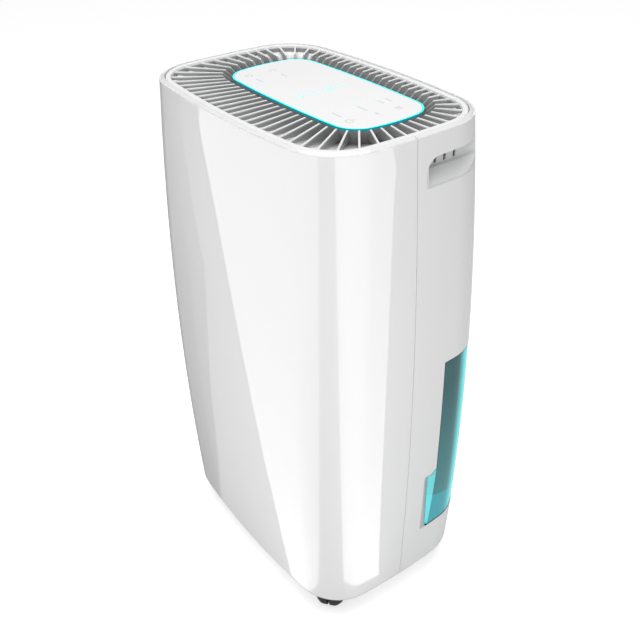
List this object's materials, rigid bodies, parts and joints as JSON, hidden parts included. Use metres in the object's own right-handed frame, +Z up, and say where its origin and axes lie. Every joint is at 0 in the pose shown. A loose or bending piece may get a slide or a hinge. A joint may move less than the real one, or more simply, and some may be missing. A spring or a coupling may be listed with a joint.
{
  "type": "dehumidifier",
  "caption": "Free-standing compressor dehumidifier with a slatted top outlet, touch panel, side grips, a pull-out tinted water tank and swivel casters.",
  "frame": {"origin": "on the floor under the centre of the casing", "axes": "+Z up, the front faces -Y, +X is to the right of someone who looks at the front"},
  "size_m": [0.35, 0.2371, 0.5899],
  "materials": {
    "white_gloss": "glossy white moulded plastic",
    "white_satin": "white moulded plastic, lightly polished",
    "grey_plastic": "light grey moulded plastic",
    "light_guide": "turquoise light guide",
    "circuit_board": "green circuit board",
    "tank_teal": "tinted translucent turquoise plastic",
    "bay_plastic": "dark grey moulded plastic",
    "foam": "closed-cell foam",
    "steel": "bright steel",
    "mesh": "fine black mesh",
    "coil_metal": "bare aluminium fins",
    "fan_plastic": "black moulded plastic",
    "motor_metal": "grey painted steel can",
    "compressor_black": "black enamelled steel",
    "rubber": "black rubber",
    "copper": "bare copper tube",
    "caster_plastic": "black nylon",
    "caster_tread": "black nylon"
  },
  "bodies": {
    "casing": {"base_tray": "grey_plastic", "capacitor": "motor_metal", "capacitor_strap": "steel", "casing_screws": "steel", "compressor": "compressor_black", "condenser": "coil_metal", "cord_gland": "rubber", "deck": "grey_plastic", "discharge_pipe": "copper", "drain_port": "grey_plastic", "drip_tray": "grey_plastic", "evaporator": "coil_metal", "fan_motor": "motor_metal", "fan_scroll": "grey_plastic", "front_casing": "white_gloss", "left_grip": "grey_plastic", "left_scoop": "grey_plastic", "light_ring": "light_guide", "outlet_funnel": "grey_plastic", "outlet_grille": "white_satin", "panel_cover": "white_gloss", "panel_tray": "grey_plastic", "power_box": "grey_plastic", "rear_casing": "white_gloss", "right_grip": "grey_plastic", "right_scoop": "grey_plastic", "rubber_mounts": "rubber", "suction_pipe": "copper", "tank_bay": "bay_plastic", "tank_switch": "fan_plastic", "touch_board": "circuit_board"},
    "fan": {"fan_wheel": "fan_plastic", "fan_shaft": "steel"},
    "inlet_door": {"inlet_grille": "white_satin", "filter_mesh": "mesh", "filter_frame": "grey_plastic"},
    "tank": {"tank_shell": "tank_teal", "tank_lid": "tank_teal", "float_pin": "steel"},
    "float": {"tank_float": "foam"},
    "bung": {"drain_bung": "rubber"},
    "caster_front_left": {"caster_fork_front_left": "caster_plastic"},
    "wheels_front_left": {"caster_wheels_front_left": "caster_tread", "caster_axle_front_left": "steel"},
    "caster_front_right": {"caster_fork_front_right": "caster_plastic"},
    "wheels_front_right": {"caster_wheels_front_right": "caster_tread", "caster_axle_front_right": "steel"},
    "caster_rear_left": {"caster_fork_rear_left": "caster_plastic"},
    "wheels_rear_left": {"caster_wheels_rear_left": "caster_tread", "caster_axle_rear_left": "steel"},
    "caster_rear_right": {"caster_fork_rear_right": "caster_plastic"},
    "wheels_rear_right": {"caster_wheels_rear_right": "caster_tread", "caster_axle_rear_right": "steel"}
  },
  "joints": [
    {"name": "fan_spin", "type": "hinge", "parent": "casing", "child": "fan", "pos_m": [0, -0.02, 0.452], "axis": [0, 1, 0], "continuous": true},
    {"name": "inlet_door_tilt", "type": "hinge", "parent": "casing", "child": "inlet_door", "pos_m": [0, 0.114, 0.3795], "axis": [-1, 0, 0], "range_deg": [0, 18]},
    {"name": "tank_slide", "type": "slide", "parent": "casing", "child": "tank", "axis": [0, 1, 0], "range_m": [0, 0.13]},
    {"name": "float_tilt", "type": "hinge", "parent": "tank", "child": "float", "pos_m": [0, 0.056, 0.32], "axis": [1, 0, 0], "range_deg": [-12, 12]},
    {"name": "drain_bung_pull", "type": "slide", "parent": "casing", "child": "bung", "axis": [0, 1, 0], "range_m": [0, 0.016]},
    {"name": "caster_swivel_front_left", "type": "hinge", "parent": "casing", "child": "caster_front_left", "pos_m": [-0.118, -0.065, 0.05], "axis": [0, 0, 1], "continuous": true},
    {"name": "wheel_roll_front_left", "type": "hinge", "parent": "caster_front_left", "child": "wheels_front_left", "pos_m": [-0.12681, -0.07588, 0.018], "axis": [0.7771, -0.6293, 0], "continuous": true},
    {"name": "caster_swivel_front_right", "type": "hinge", "parent": "casing", "child": "caster_front_right", "pos_m": [0.118, -0.065, 0.05], "axis": [0, 0, 1], "continuous": true},
    {"name": "wheel_roll_front_right", "type": "hinge", "parent": "caster_front_right", "child": "wheels_front_right", "pos_m": [0.12681, -0.07588, 0.018], "axis": [0.7771, 0.6293, 0], "continuous": true},
    {"name": "caster_swivel_rear_left", "type": "hinge", "parent": "casing", "child": "caster_rear_left", "pos_m": [-0.118, 0.065, 0.05], "axis": [0, 0, 1], "continuous": true},
    {"name": "wheel_roll_rear_left", "type": "hinge", "parent": "caster_rear_left", "child": "wheels_rear_left", "pos_m": [-0.12681, 0.07588, 0.018], "axis": [-0.7771, -0.6293, 0], "continuous": true},
    {"name": "caster_swivel_rear_right", "type": "hinge", "parent": "casing", "child": "caster_rear_right", "pos_m": [0.118, 0.065, 0.05], "axis": [0, 0, 1], "continuous": true},
    {"name": "wheel_roll_rear_right", "type": "hinge", "parent": "caster_rear_right", "child": "wheels_rear_right", "pos_m": [0.12681, 0.07588, 0.018], "axis": [-0.7771, 0.6293, 0], "continuous": true}
  ]
}
